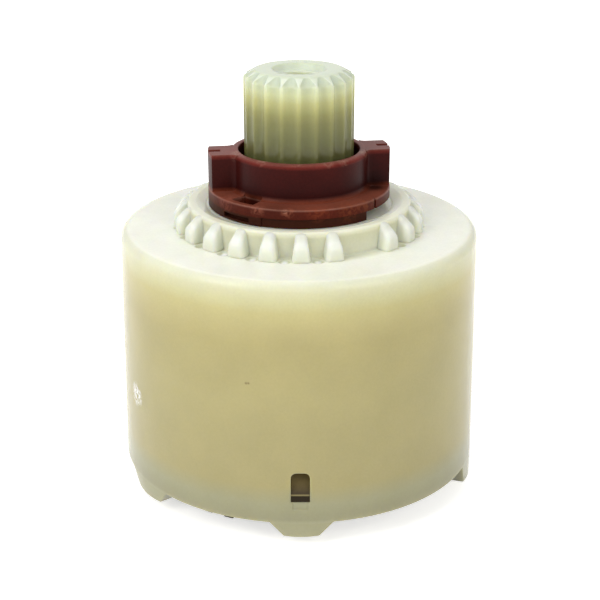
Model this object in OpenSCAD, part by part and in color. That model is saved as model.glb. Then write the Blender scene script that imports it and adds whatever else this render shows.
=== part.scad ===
// Pressure balance cartridge for a single-handle shower valve, with its limit ring fitted.
// The origin is on the stem axis, in the plane of the deepest locating tab's foot.
// +Z runs up the stem, and the front, with one snap window, faces -Y.
// Azimuths are in degrees round +Z, from 0 at the front towards +X.

/* [Housing] */
// Outer radius of the housing at its rim
housing_r = 23.75; // [23.5:0.05:24.5]
// Draft of the outer wall, in degrees
housing_draft = 0.8; // [0:0.1:1.2]
// Thickness of the wall at the rim
housing_wall = 1.75; // [1.4:0.05:2]
// Thickness of the roof between cavity and rim
roof_t = 2.2; // [1.6:0.1:3]
// Radius that rounds the rim's outer edge
rim_round = 1.25; // [0.4:0.05:1.6]
// Azimuth of each locating tab
tab_azimuths = [0.8, 79, 180, -57.8];
// Depth of each tab below the wall
tab_depths = [2, 3.4, 2, 2];
// Width of each tab at its foot
tab_feet = [4.6, 5, 4.6, 6.2];
// Width of each tab where it leaves the wall
tab_roots = [8.2, 9, 8.2, 9.8];

/* [Snap windows] */
// Azimuth of the front window, and of its twin half a turn round
window_az = 0.4; // [-2:0.1:2]
// Width of a window
window_w = 2.4; // [2.2:0.1:4]
// Height of a window
window_h = 4.1; // [3.4:0.1:5]
// Height of the sill above the wall's bottom edge
window_sill = 3; // [2.6:0.1:4]
// Radius of the window's two upper corners
window_corner = 0.7; // [0.2:0.1:1]
// Height of the ramp cut into the wall under the sill
sill_ramp_h = 1.1; // [0.6:0.1:1.5]
// Depth of that ramp at the sill
sill_ramp_depth = 0.45; // [0.2:0.05:0.8]

/* [Toothed boss] */
// Radial depth of the gaps between the teeth
tooth_depth = 1.7; // [1.2:0.1:2.2]
// Thickness of the boss wall behind the teeth
boss_wall = 2.4; // [1.8:0.1:2.8]
// Height of the boss above the rim plane
boss_h = 3.35; // [2.8:0.05:4]
// Size of the slope at the top of each tooth
boss_chamfer = 1.5; // [0.6:0.1:1.6]
// Number of tooth places round the boss
tooth_places = 24; // [18:1:26]
// Width of a tooth at its foot
tooth_foot = 2.4; // [1.8:0.1:2.6]
// Width of a tooth at its top
tooth_top = 1.3; // [0.8:0.1:1.8]
// Azimuth of the first tooth
tooth_az = 1; // [-7:0.5:7]
// The tooth place that is left empty, counted from the first tooth
missing_tooth = 2; // [0:1:17]
// Radius of the hollow at the foot of each gap
foot_hollow_r = 0.8; // [0.4:0.05:0.9]
// How far those hollows reach out past the teeth
foot_hollow_reach = 0.85; // [0.2:0.05:1]
// Depth of that hollow below the rim plane
foot_hollow_depth = 0.35; // [0.2:0.05:0.6]
// Radial room round the limit ring in its recess in the boss
recess_room = 0.46; // [0.3:0.02:0.9]
// Depth of that recess
recess_depth = 0.65; // [0.4:0.05:0.9]

/* [Neck] */
// Thickness of the neck tube
neck_t = 2.32; // [1.8:0.04:2.6]
// Length of the neck tube below the roof
neck_drop = 1.8; // [1:0.1:2.5]
// Width of the cored pocket round the neck
pocket_w = 3.4; // [2.4:0.1:3.8]
// Depth of that pocket above the roof's underside
pocket_depth = 3.1; // [1:0.1:3.4]

/* [Base] */
// Radial gap of base and manifold in the housing
body_gap = 0.2; // [0.1:0.05:0.4]
// Thickness of the base disc
base_t = 3.7; // [3.2:0.1:4.5]
// Height of the base's underside above the wall's bottom edge
base_inset = 0.2; // [0:0.1:0.5]
// Thickness of a snap arm
arm_t = 1.4; // [1:0.1:1.8]
// Reach of a snap nose into its window
nose_reach = 1.3; // [0.8:0.1:1.6]
// Height of a snap nose below its ramp
nose_h = 0.7; // [0.6:0.1:1.4]
// Width of the slit on each side of a snap arm
arm_slit = 0.6; // [0.4:0.1:1]
// Azimuths between which the key foot hangs from the base
key_azimuths = [-34.8, -23.9];
// Radial thickness of the key foot
key_t = 2; // [1:0.1:2.4]
// How far the key foot hangs below the housing's wall
key_drop = 1.3; // [0.8:0.05:1.6]
// Azimuths of the relief in the middle of the key foot
key_relief_azimuths = [-31.2, -26.3];
// Height of that relief
key_relief_h = 0.6; // [0.3:0.1:0.9]
// Radius of the two pegs that line up base and manifold
peg_r = 1.5; // [1:0.1:2]
// Length of a peg
peg_l = 2.2; // [1.5:0.1:3]
// Place of a peg, sideways and back from the axis
peg_place = [12, 9];

/* [Ports] */
// Distance of the hot and cold ports from the ends of the spool sleeve
inlet_inset = 3.6; // [3.2:0.1:4]
// Radius of the hot and cold ports in the base
inlet_r = 3.8; // [3:0.1:4]
// Radius of the inlet passages in the manifold
inlet_passage_r = 2.6; // [2:0.1:2.8]
// Distance of the outlet port behind the axis
outlet_y = 6.5; // [5:0.1:8]
// Radius of the outlet port in the base
outlet_r = 4.5; // [4:0.1:5]
// Radius of the outlet passage in manifold and discs
outlet_passage_r = 3.9; // [3.4:0.1:4]
// Thickness of the manifold over the outlet chamber, under the gasket
outlet_roof = 2; // [1.2:0.1:3]
// Wall of the collar between a port and its seal
collar_t = 0.9; // [0.6:0.1:1.1]
// Radial width of a port seal
seal_w = 1.2; // [1:0.1:1.3]
// Depth of a seal's groove in the base
seal_groove = 1.7; // [1:0.1:2.2]
// How far a port seal stands out of the base
seal_proud = 0.8; // [0.4:0.1:1.2]

/* [Manifold and balancing spool] */
// Thickness of the manifold under the spool's bore
spool_floor = 1.25; // [0.8:0.05:2]
// Thickness of the manifold between the spool's bore and the gasket
spool_roof = 1.05; // [0.8:0.05:2]
// Thickness of the manifold between the spool's bore and the outlet passage
spool_wall = 1.35; // [1:0.05:1.6]
// Outer radius of the spool sleeve
sleeve_r = 4.9; // [4.7:0.05:5]
// Wall of the spool sleeve
sleeve_wall = 1.6; // [1.4:0.05:1.8]
// Length of a plug at each end of the sleeve, on its shortest side
plug_neck = 1.475; // [1.45:0.025:1.8]
// Depth of the flow grooves round the sleeve
sleeve_flow_depth = 0.5; // [0.3:0.05:0.6]
// Width of the land between a flow groove and an O-ring groove
sleeve_land = 0.85; // [0.6:0.05:1.2]
// Radius of the drilled holes in the sleeve
sleeve_hole_r = 0.8; // [0.5:0.05:0.9]
// Number of drilled holes in each row of the sleeve
sleeve_holes = 8; // [4:2:10]
// Place of the mixed-water passages, as a part of the way out to the ports
feed_part = 0.406; // [0.39:0.002:0.42]
// Radius of those passages
feed_r = 1.9; // [1.6:0.1:2.1]
// Travel of the spool each way
spool_travel = 1.5; // [1:0.1:2]
// Radius of the spool between its lands
spool_waist_r = 1.9; // [1.5:0.1:2.5]
// Half the width of the spool's middle land
spool_mid_land = 1.6; // [1:0.1:2]
// Width of each end land of the spool
spool_end_land = 2.1; // [1.6:0.1:2.6]
// Radius of the sensing drilling in each end of the spool
spool_drill_r = 0.9; // [0.6:0.1:1.1]
// Thickness of the O-rings on sleeve and plugs
small_oring_cs = 0.9; // [0.8:0.05:0.95]
// Width of the screwdriver slot in each plug
plug_slot_w = 1.2; // [0.8:0.1:1.6]
// Length of that slot
plug_slot_l = 5; // [4:0.1:6]
// Thickness of the plug between its slot and its O-ring
plug_slot_floor = 2; // [1.5:0.1:3]
// Thickness of the O-ring round the manifold
manifold_oring_cs = 1.55; // [1.4:0.05:1.6]
// Depth of the manifold O-ring's middle below the disc seat
manifold_oring_drop = 0.95; // [0.9:0.05:1]

/* [Ceramic discs] */
// Radius of the fixed disc
fixed_disc_r = 17; // [16.5:0.1:17.5]
// Thickness of the fixed disc
fixed_disc_t = 3; // [2.5:0.1:3.5]
// Radial step from the fixed disc in to the moving disc
disc_step = 2; // [1.5:0.1:2.5]
// Thickness of the moving disc
moving_disc_t = 2.8; // [2.4:0.1:3.4]
// Depth of the mixing hollow under the moving disc
hollow_depth = 1.6; // [1:0.1:1.8]
// Angle that the mixing hollow spans
hollow_span = 60; // [50:1:66]
// Rim of the moving disc outside the hot and cold slots
slot_rim = 2.8; // [2.6:0.1:3.2]
// Radial width of those slots
slot_w = 4; // [3.6:0.1:4.4]
// Azimuth of the middle of the hot slot, and less of the cold
slot_az = 29; // [27:0.5:31]
// Angle that each slot spans
slot_span = 45; // [35:1:48]
// Thickness of the gasket under the fixed disc
gasket_t = 1.2; // [0.8:0.1:1.6]
// Rim of the gasket round its openings
gasket_rim = 1.2; // [0.8:0.1:1.4]
// Width of the notches that hold each disc from turning
notch_w = 4; // [3:0.1:5]
// Depth of those notches
notch_depth = 1.4; // [1:0.1:1.8]

/* [Stem] */
// Radius of the stem
stem_r = 7.2; // [7:0.05:7.3]
// Number of splines on the stem
splines = 20; // [18:1:21]
// Azimuth of the first spline crest
spline_az = 0; // [-9:0.5:9]
// Depth of the spline grooves
spline_depth = 0.4; // [0.3:0.05:0.5]
// Radius of the round floor of each spline groove
spline_groove_r = 1.4; // [1.2:0.05:1.6]
// Height of the stem above the limit ring
stem_reach = 10.5; // [8:0.1:14]
// Width of the slope round the stem's top
stem_slope_w = 1.5; // [0.6:0.05:1.8]
// Height of that slope
stem_slope_h = 0.75; // [0.4:0.05:1.2]
// Radius of the dished hollow in the stem's top
dish_r = 3.5; // [3:0.1:4]
// Depth of that hollow
dish_depth = 0.8; // [0.4:0.1:1.2]
// Radius of the handle screw's hole
screw_r = 2.1; // [1.5:0.05:2.5]
// Depth of the screw hole below the dished hollow
screw_depth = 12; // [8:0.5:16]
// Width of the flange that the neck holds down
stem_flange_w = 2.8; // [2.2:0.1:3.4]
// Thickness of that flange
stem_flange_t = 1.8; // [1.4:0.1:2.4]
// Width of the two drive lugs under the flange
drive_w = 3; // [2.4:0.1:4]
// Length of the drive lugs
drive_l = 1.7; // [1.2:0.1:2]
// Radius where a drive lug begins
drive_r_in = 4.5; // [4:0.1:5.5]
// How far a drive lug stays inside the flange's edge
drive_inset = 1; // [0.6:0.1:1.5]
// Thickness of the two O-rings on the stem
stem_oring_cs = 1.34; // [1.2:0.02:1.4]
// Height of the lower O-ring above the neck's foot
stem_oring_z = 1.7; // [1.4:0.1:1.9]
// Distance between the two O-rings
stem_oring_pitch = 3; // [2.4:0.1:3.2]
// Thickness of the thrust washer
washer_t = 0.5; // [0.3:0.1:1]
// Thickness of the disc carrier
carrier_t = 2.8; // [2.4:0.1:3.4]

/* [Limit ring] */
// Thickness of the hub round its clear bore
hub_t = 1.05; // [0.9:0.05:1.3]
// Radial room round the stem in the clear bore
hub_room = 0.8; // [0.6:0.05:1.1]
// Height of the hub above the flange
hub_h = 4.9; // [3.5:0.1:7]
// Height of the clear bore in the top of the hub
hub_bore_h = 3; // [1.5:0.1:3.3]
// Size of the slope round the hub's top
hub_chamfer = 0.45; // [0.2:0.05:0.6]
// Radius of the cove at the hub's foot
hub_cove = 0.6; // [0.2:0.05:0.9]
// Width of the flange round the hub
ring_flange_w = 2.99; // [2.6:0.01:3.2]
// Thickness of the flange
ring_flange_t = 1.3; // [1:0.1:1.8]
// Height of the stop skirt under the flange
skirt_h = 1.2; // [1:0.1:1.6]
// Azimuths where the skirt begins and ends, which are its two stops
skirt_azimuths = [-190, 47];
// Azimuth where the set-back band on the front of the skirt begins
band_az = -23.6; // [-30:0.1:-15]
// Depth of that band
band_depth = 0.2; // [0.1:0.05:0.4]
// Azimuths of the undercut in the skirt
undercut_azimuths = [-53, -32];
// Depth of that undercut
undercut_depth = 0.7; // [0.3:0.1:1]
// Azimuths of the index pocket in the top of the flange
index_azimuths = [-49, -30.5];
// Width of the flange left outside the index pocket
index_rim = 0.6; // [0.3:0.05:1]
// Depth of the index pocket
index_depth = 0.9; // [0.3:0.1:1]
// Azimuth of the index nick in the edge of the flange
nick_az = 54.2; // [50:0.2:60]
// Width of that nick
nick_w = 0.4; // [0.2:0.05:0.8]
// Radial depth of that nick
nick_depth = 0.4; // [0.2:0.05:0.6]
// Azimuth of the first ear
ear_az = -82; // [-100:1:-70]
// How far the ears stay inside the flange's edge
ear_inset = 0.04; // [0.02:0.02:0.4]
// Width of an ear
ear_w = 4.8; // [3.6:0.1:5.4]
// Width of the slot that forks each ear
ear_slot_w = 0.9; // [0.5:0.1:1.4]
// Depth of that slot
ear_slot_depth = 1.6; // [0.8:0.1:2.2]
// Radius that blends the ears into the hub
ear_fillet = 0.9; // [0.4:0.05:1.2]

/* [Fits] */
// Radial clearance of the stem in the neck
stem_fit = 0.08; // [0.04:0.01:0.1]
// Clearance between ring splines and stem splines
spline_fit = 0.08; // [0.04:0.01:0.12]
// Radial clearance of the spool in its sleeve
spool_fit = 0.03; // [0.02:0.01:0.06]
// Clearance of parts that drop into a pocket
drop_fit = 0.05; // [0.03:0.01:0.1]
// Clearance round an O-ring in its groove
oring_fit = 0.02; // [0.01:0.01:0.04]
// Room at each side of an O-ring in its groove
oring_side = 0.15; // [0.1:0.05:0.2]
// Room round the snap noses in their windows
snap_room = 0.15; // [0.1:0.05:0.25]
// Gap under the limit ring, above the recess floor
ring_gap = 0.2; // [0.1:0.05:0.4]
// Gap between the stop lug and what passes it
lug_gap = 0.2; // [0.1:0.05:0.3]
// Angle left between the skirt's ends and the stop lug
stop_gap = 0.3; // [0.1:0.1:0.5]
// Angle that the stop lug spans
lug_span = 13; // [8:0.5:20]

/* [Hidden] */
$fn = 96;
// A length past every face that a cut has to clear
over = 1;
// A length by which joined solids run into each other
sink = 0.3;
// Depth that the ear fillets run into the hub
fillet_bite = 0.03;

// Heights of the stack, from the foot of the deepest tab up
wall_z = max(tab_depths);
base_z = wall_z + base_inset;
manifold_z = base_z + base_t;
manifold_h = spool_floor + 2 * (sleeve_r + drop_fit) + spool_roof + gasket_t;
seat_z = manifold_z + manifold_h;
moving_disc_z = seat_z + fixed_disc_t;
carrier_z = moving_disc_z + moving_disc_t;
stem_z = carrier_z + carrier_t;
washer_z = stem_z + stem_flange_t;
neck_z = washer_z + washer_t;
ceiling_z = neck_z + neck_drop;
rim_z = ceiling_z + roof_t;
boss_z = rim_z + boss_h;
recess_z = boss_z - recess_depth;
ring_z = recess_z + ring_gap;
ring_flange_z = ring_z + skirt_h;
hub_z = ring_flange_z + ring_flange_t;
ring_top = hub_z + hub_h;
stem_top = ring_top + stem_reach;

// Radii, from the stem outwards
neck_bore_r = stem_r + stem_fit;
neck_r = neck_bore_r + neck_t;
pocket_r = neck_r + pocket_w;
stem_flange_r = stem_r + stem_flange_w;
hub_bore_r = stem_r + hub_room;
hub_r = hub_bore_r + hub_t;
ring_flange_r = hub_r + ring_flange_w;
ear_r = ring_flange_r - ear_inset;
recess_r = ring_flange_r + recess_room;
boss_root_r = recess_r + boss_wall;
boss_r = boss_root_r + tooth_depth;

// Radii, from the housing inwards
cavity_r = housing_r - housing_wall;
base_r = cavity_r - body_gap;
manifold_r = base_r;

// Housing
wall_r_foot = wall_r(0);
tooth_pitch = 360 / tooth_places;
hollow_place_r = boss_r + foot_hollow_reach - foot_hollow_r;
window_z = wall_z + window_sill;
window_top = window_z + window_h;
window_places = [window_az, window_az + 180];
lug_end = skirt_azimuths[0] + 360 - stop_gap;
lug_top = ring_flange_z - lug_gap;
lug_r = hub_r + lug_gap;

// Base
arm_r = base_r - arm_t;
arm_w = window_w - 2 * snap_room;
nose_z = window_z + snap_room;
nose_r = base_r + nose_reach;
arm_top = window_top - snap_room;
arm_root_z = base_z + 1.2;

// Discs
moving_disc_r = fixed_disc_r - disc_step;
slot_r_out = moving_disc_r - slot_rim;
slot_r_in = slot_r_out - slot_w;
hollow_az = slot_az - slot_span / 2 - 2.5 - hollow_span - hollow_span / 2;
disc_notches = [60, 180];
fixed_notches = [90, -90];

// Spool group
bore_r = sleeve_r + drop_fit;
spool_y = outlet_passage_r + spool_wall + bore_r;
axis_z = manifold_z + spool_floor + bore_r;
bore_end_x = sqrt(pow(manifold_r, 2) - pow(spool_y + bore_r, 2));
sleeve_half = bore_end_x - plug_neck;
sleeve_bore_r = sleeve_r - sleeve_wall;
inlet_x = sleeve_half - inlet_inset;
feed_x = feed_part * inlet_x;
sleeve_oring_x = (inlet_x + feed_x) / 2;
spool_half = sleeve_half - spool_travel - drop_fit;
spool_r = sleeve_bore_r - spool_fit;
small_groove_r = bore_r - small_oring_cs - 2 * oring_fit;
small_oring_r = bore_r - oring_fit - small_oring_cs / 2;
small_groove_w = small_oring_cs + 2 * oring_side;
sleeve_flow_half = (inlet_x - feed_x - small_groove_w) / 2 - sleeve_land;
plug_groove_x = sleeve_half + 0.4 + small_groove_w / 2;
spool_drill_end = spool_mid_land + 3;

// Ports, each the place of its bore in the base
hot_port = [inlet_x, -spool_y];
cold_port = [-inlet_x, -spool_y];
outlet_port = [0, outlet_y];

// Manifold O-ring
manifold_groove_r = cavity_r - manifold_oring_cs - 2 * oring_fit;
manifold_oring_r = cavity_r - oring_fit - manifold_oring_cs / 2;
manifold_oring_z = seat_z - manifold_oring_drop;
manifold_rim_h = fixed_disc_t - 0.8;

// Stem
stem_groove_r = neck_bore_r - stem_oring_cs - 2 * oring_fit;
stem_oring_r = neck_bore_r - oring_fit - stem_oring_cs / 2;
stem_groove_w = stem_oring_cs + 2 * oring_side;
stem_oring_heights = [neck_z + stem_oring_z, neck_z + stem_oring_z + stem_oring_pitch];
spline_z = recess_z - 0.1;
drive_r_out = stem_flange_r - drive_inset;

function at(az, r) = [r * sin(az), -r * cos(az)];
function arc(cx, cy, r, from, to, steps) =
    [for (i = [0:steps]) let(a = from + (to - from) * i / steps) [cx + r * cos(a), cy + r * sin(a)]];
function wall_r(z) = housing_r + (rim_z - z) * tan(housing_draft);

module at_az(az) {
    rotate([0, 0, az]) children();
}

// Extrudes an outline drawn as width and height outwards from the axis, at the front
module radial(from, to) {
    translate([0, -from, 0]) rotate([90, 0, 0]) linear_extrude(height = to - from) children();
}

// Extrudes an outline drawn as Y and Z sideways, both ways from the middle plane
module sideways(width) {
    rotate([90, 0, 90]) linear_extrude(height = width, center = true) children();
}

// A flat wedge between two azimuths, out past the radius r
module wedge(from, to, r) {
    steps = 8;
    polygon(concat([[0, 0]], [for (i = [0:steps]) at(from + (to - from) * i / steps, 2 * r)]));
}

module ring_sector(r_in, r_out, from, to) {
    intersection() {
        difference() {
            circle(r = r_out);
            circle(r = r_in);
        }
        wedge(from, to, r_out);
    }
}

module slab(z, h) {
    translate([0, 0, z]) linear_extrude(height = h) children();
}

module tube(z, h, r_in, r_out) {
    slab(z, h) difference() {
        circle(r = r_out);
        circle(r = r_in);
    }
}

module oring(r, cs) {
    rotate_extrude() translate([r, 0]) circle(d = cs, $fn = 48);
}

// Lays a shape that is turned round Z along the spool's axis
module along_spool() {
    translate([0, -spool_y, axis_z]) rotate([0, 90, 0]) children();
}

// Housing: one moulding with tabs, snap windows, a toothed boss and the stem's neck
module shell_outside() {
    arc_r = wall_r(rim_z - rim_round) - rim_round;
    rotate_extrude()
        polygon(concat([[0, 0], [wall_r_foot, 0]],
            arc(arc_r, rim_z - rim_round, rim_round, 0, 90, 8), [[0, rim_z]]));
}

module tab_prism(foot, root, depth) {
    top = root / 2 + sink * (root - foot) / 2 / depth;
    radial(cavity_r - over, wall_r_foot + over)
        polygon([[-foot / 2, wall_z - depth], [foot / 2, wall_z - depth],
            [top, wall_z + sink], [-top, wall_z + sink]]);
}

module boss_tooth() {
    slope = (tooth_foot - tooth_top) / 2 / (boss_h + sink);
    low = tooth_foot / 2 + 2 * sink * slope;
    radial(boss_root_r - over, boss_r + over)
        polygon([[-low, rim_z - 2 * sink], [low, rim_z - 2 * sink],
            [tooth_top / 2, boss_z + sink], [-tooth_top / 2, boss_z + sink]]);
}

module toothed_boss() {
    intersection() {
        rotate_extrude()
            polygon([[0, rim_z - sink], [boss_r, rim_z - sink], [boss_r, boss_z - boss_chamfer],
                [boss_r - boss_chamfer, boss_z], [0, boss_z]]);
        union() {
            cylinder(r = boss_root_r, h = boss_z + over);
            for (i = [0:tooth_places - 1])
                if (i != missing_tooth)
                    at_az(tooth_az + i * tooth_pitch) boss_tooth();
        }
    }
}

module foot_hollows() {
    for (i = [0:tooth_places - 1])
        if (i != missing_tooth && i + 1 != missing_tooth)
            at_az(tooth_az + (i + 0.5) * tooth_pitch)
                translate([0, -hollow_place_r, rim_z - foot_hollow_depth])
                    cylinder(r = foot_hollow_r, h = foot_hollow_depth + over, $fn = 32);
}

module cavity() {
    rotate_extrude()
        polygon([[0, -over], [cavity_r, -over], [cavity_r, ceiling_z], [pocket_r, ceiling_z],
            [pocket_r, ceiling_z + pocket_depth], [neck_r, ceiling_z + pocket_depth],
            [neck_r, neck_z], [neck_bore_r, neck_z], [neck_bore_r, boss_z + over], [0, boss_z + over]]);
}

module window_outline() {
    top = window_top - window_corner;
    side = window_w / 2 - window_corner;
    polygon(concat([[-window_w / 2, window_z], [window_w / 2, window_z]],
        arc(side, top, window_corner, 0, 90, 5), arc(-side, top, window_corner, 90, 180, 5)));
}

module sill_ramp() {
    face = wall_r(window_z);
    sideways(window_w - 2 * snap_room)
        polygon([[-face - sill_ramp_depth, window_z - 2 * sill_ramp_h],
            [-face + sill_ramp_depth, window_z], [-face + sill_ramp_depth, window_z + sink],
            [-face - sill_ramp_depth, window_z + sink]]);
}

module stop_lug() {
    slab(recess_z - sink, lug_top - recess_z + sink)
        ring_sector(lug_r, recess_r + sink, lug_end - lug_span, lug_end);
}

module housing() color("#e6e0bf") {
    difference() {
        union() {
            intersection() {
                shell_outside();
                union() {
                    translate([0, 0, wall_z]) cylinder(r = wall_r_foot + over, h = rim_z);
                    for (i = [0:len(tab_azimuths) - 1])
                        at_az(tab_azimuths[i]) tab_prism(tab_feet[i], tab_roots[i], tab_depths[i]);
                }
            }
            toothed_boss();
        }
        foot_hollows();
        cavity();
        translate([0, 0, recess_z]) cylinder(r = recess_r, h = recess_depth + over);
        for (az = window_places) {
            at_az(az) radial(cavity_r - over, wall_r_foot + over) window_outline();
            at_az(az) sill_ramp();
        }
    }
    stop_lug();
}

// Base: the dark disc that closes the housing, with ports, snap arms, pegs and a key foot
module snap_arm() {
    sideways(arm_w)
        polygon([[-arm_r, arm_root_z], [-arm_r, arm_top - 0.4], [-arm_r - 0.4, arm_top],
            [-base_r, arm_top], [-nose_r, nose_z + nose_h], [-nose_r, nose_z],
            [-base_r, nose_z], [-base_r, arm_root_z]]);
}

module arm_slits() {
    slit_z = arm_root_z + 0.6;
    for (side = [-1, 1])
        translate([side * (arm_w + arm_slit) / 2, -base_r, slit_z + base_t / 2])
            cube([arm_slit, 2 * arm_t + 1.6, base_t], center = true);
    translate([0, -arm_r + arm_slit / 2, slit_z + base_t / 2])
        cube([arm_w + 2 * arm_slit, arm_slit, base_t], center = true);
}

module port_cut(place, r) {
    translate([place[0], place[1], base_z - over]) cylinder(r = r, h = base_t + 2 * over);
    translate([place[0], place[1], 0])
        tube(base_z - over, seal_groove + over, r + collar_t, r + collar_t + seal_w);
}

module base() color("#3c362a") {
    difference() {
        union() {
            translate([0, 0, base_z]) cylinder(r = base_r, h = base_t);
            slab(wall_z - key_drop, key_drop + base_inset + sink)
                ring_sector(base_r - key_t, base_r, key_azimuths[0], key_azimuths[1]);
            for (side = [-1, 1])
                translate([side * peg_place[0], peg_place[1], manifold_z - sink])
                    cylinder(r = peg_r, h = peg_l + sink);
        }
        slab(wall_z - key_drop - over, key_relief_h + over)
            ring_sector(base_r - key_t - over, base_r + over,
                key_relief_azimuths[0], key_relief_azimuths[1]);
        port_cut(hot_port, inlet_r);
        port_cut(cold_port, inlet_r);
        port_cut(outlet_port, outlet_r);
        for (az = window_places)
            at_az(az) arm_slits();
    }
    for (az = window_places)
        at_az(az) snap_arm();
}

// Port seals: rubber rings with a soft lip, standing out of the base's underside
module port_seal(place, r) {
    inner = r + collar_t + drop_fit;
    outer = r + collar_t + seal_w - drop_fit;
    lip = (outer - inner) / 4;
    translate([place[0], place[1], base_z - seal_proud]) rotate_extrude()
        polygon([[inner + lip, 0], [outer - lip, 0], [outer, lip],
            [outer, seal_proud + seal_groove], [inner, seal_proud + seal_groove], [inner, lip]]);
}

module port_seal_hot() color("#1c1c1c") {
    port_seal(hot_port, inlet_r);
}

module port_seal_cold() color("#1c1c1c") {
    port_seal(cold_port, inlet_r);
}

module port_seal_outlet() color("#1c1c1c") {
    port_seal(outlet_port, outlet_r);
}

// Manifold: carries the balancing spool and leads the water up to the discs
module slot_outlines() {
    for (side = [-1, 1])
        ring_sector(slot_r_in, slot_r_out, side * slot_az - slot_span / 2, side * slot_az + slot_span / 2);
}

module gasket_outline(room) {
    reach = slot_az + slot_span / 2 + 7;
    circle(r = outlet_passage_r + gasket_rim + room);
    ring_sector(outlet_passage_r + gasket_rim / 2, slot_r_out + gasket_rim + room,
        -reach - room, reach + room);
}

module outlet_passage() {
    chamber_h = manifold_h - gasket_t - outlet_roof;
    translate([0, 0, manifold_z - over]) cylinder(r = outlet_passage_r, h = manifold_h + over);
    translate([0, outlet_y, manifold_z - over]) cylinder(r = outlet_passage_r, h = chamber_h + over);
    translate([-outlet_passage_r, 0, manifold_z - over])
        cube([2 * outlet_passage_r, outlet_y, chamber_h + over]);
}

module manifold_passages() {
    for (side = [-1, 1]) {
        translate([side * inlet_x, -spool_y, manifold_z - over])
            cylinder(r = inlet_passage_r, h = axis_z - manifold_z + over);
        translate([side * feed_x, -spool_y, axis_z])
            cylinder(r = feed_r, h = seat_z - axis_z + over);
    }
}

module arm_pocket() {
    translate([0, -manifold_r, manifold_z + (arm_top - manifold_z) / 2])
        cube([arm_w + 2 * arm_slit, 2 * (arm_t + arm_slit + 0.2), arm_top - manifold_z + 2 * snap_room],
            center = true);
}

module manifold() color("#d9d8d0") {
    difference() {
        translate([0, 0, manifold_z]) cylinder(r = manifold_r, h = manifold_h + manifold_rim_h);
        difference() {
            translate([0, 0, seat_z]) cylinder(r = fixed_disc_r + drop_fit, h = manifold_rim_h + over);
            for (az = fixed_notches)
                at_az(az) translate([0, -fixed_disc_r, seat_z + manifold_rim_h / 2])
                    cube([notch_w - 2 * drop_fit, 2 * (notch_depth - drop_fit), manifold_rim_h + 2 * over],
                        center = true);
        }
        slab(seat_z - gasket_t, gasket_t + over) gasket_outline(drop_fit);
        outlet_passage();
        manifold_passages();
        along_spool() cylinder(r = bore_r, h = 2 * manifold_r, center = true);
        translate([0, 0, manifold_oring_z])
            tube(-manifold_oring_cs / 2 - oring_side, manifold_oring_cs + 2 * oring_side,
                manifold_groove_r, manifold_r + over);
        for (side = [-1, 1])
            translate([side * peg_place[0], peg_place[1], manifold_z - over])
                cylinder(r = peg_r + drop_fit, h = peg_l + over + 0.2);
        for (az = window_places)
            at_az(az) arm_pocket();
    }
}

module manifold_oring() color("#1c1c1c") {
    translate([0, 0, manifold_oring_z]) oring(manifold_oring_r, manifold_oring_cs);
}

// Spool sleeve: drilled and grooved tube that the balancing spool slides in
module spool_sleeve() color("#b9bcc0") {
    along_spool() difference() {
        cylinder(r = sleeve_r, h = 2 * sleeve_half, center = true);
        cylinder(r = sleeve_bore_r, h = 2 * sleeve_half + over, center = true);
        for (x = [-inlet_x, -feed_x, feed_x, inlet_x]) {
            translate([0, 0, x])
                tube(-sleeve_flow_half, 2 * sleeve_flow_half, sleeve_r - sleeve_flow_depth, sleeve_r + over);
            for (i = [0:sleeve_holes / 2 - 1])
                translate([0, 0, x]) rotate([90, 0, i * 360 / sleeve_holes])
                    cylinder(r = sleeve_hole_r, h = 2 * sleeve_r, center = true, $fn = 32);
        }
        for (x = [-sleeve_oring_x, 0, sleeve_oring_x])
            translate([0, 0, x])
                tube(-small_groove_w / 2, small_groove_w, small_groove_r, sleeve_r + over);
    }
}

module sleeve_orings() color("#1c1c1c") {
    for (x = [-sleeve_oring_x, 0, sleeve_oring_x])
        along_spool() translate([0, 0, x]) oring(small_oring_r, small_oring_cs);
}

// Balancing spool: three lands on one rod, drilled at both ends to sense the pressures
module balance_spool() color("#9c8a5a") {
    inner = spool_half - spool_end_land;
    along_spool() difference() {
        union() {
            cylinder(r = spool_waist_r, h = 2 * spool_half - 2 * sink, center = true);
            cylinder(r = spool_r, h = 2 * spool_mid_land, center = true);
            for (side = [0, 1])
                mirror([0, 0, side]) translate([0, 0, inner]) cylinder(r = spool_r, h = spool_end_land);
        }
        for (side = [0, 1])
            mirror([0, 0, side]) {
                translate([0, 0, spool_drill_end])
                    cylinder(r = spool_drill_r, h = spool_half, $fn = 32);
                translate([0, 0, spool_drill_end + spool_drill_r]) rotate([90, 0, 0])
                    cylinder(r = spool_drill_r, h = 2 * spool_r, center = true, $fn = 32);
            }
    }
}

// Sleeve plugs: close the two ends of the spool's bore and are kept in by the housing wall
module sleeve_plug() {
    slot_x = plug_groove_x + small_groove_w / 2 + plug_slot_floor;
    intersection() {
        difference() {
            translate([0, -spool_y, axis_z]) rotate([0, 90, 0])
                translate([0, 0, sleeve_half]) cylinder(r = sleeve_r, h = manifold_r - sleeve_half);
            along_spool() translate([0, 0, plug_groove_x])
                tube(-small_groove_w / 2, small_groove_w, small_groove_r, sleeve_r + over);
            translate([manifold_r, -spool_y, axis_z])
                cube([2 * (manifold_r - slot_x), plug_slot_w, plug_slot_l], center = true);
        }
        cylinder(r = manifold_r - drop_fit, h = rim_z);
    }
}

module sleeve_plug_right() color("#d9d8d0") {
    sleeve_plug();
}

module sleeve_plug_left() color("#d9d8d0") {
    mirror([1, 0, 0]) sleeve_plug();
}

module plug_oring() {
    along_spool() translate([0, 0, plug_groove_x]) oring(small_oring_r, small_oring_cs);
}

module plug_oring_right() color("#1c1c1c") {
    plug_oring();
}

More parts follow.
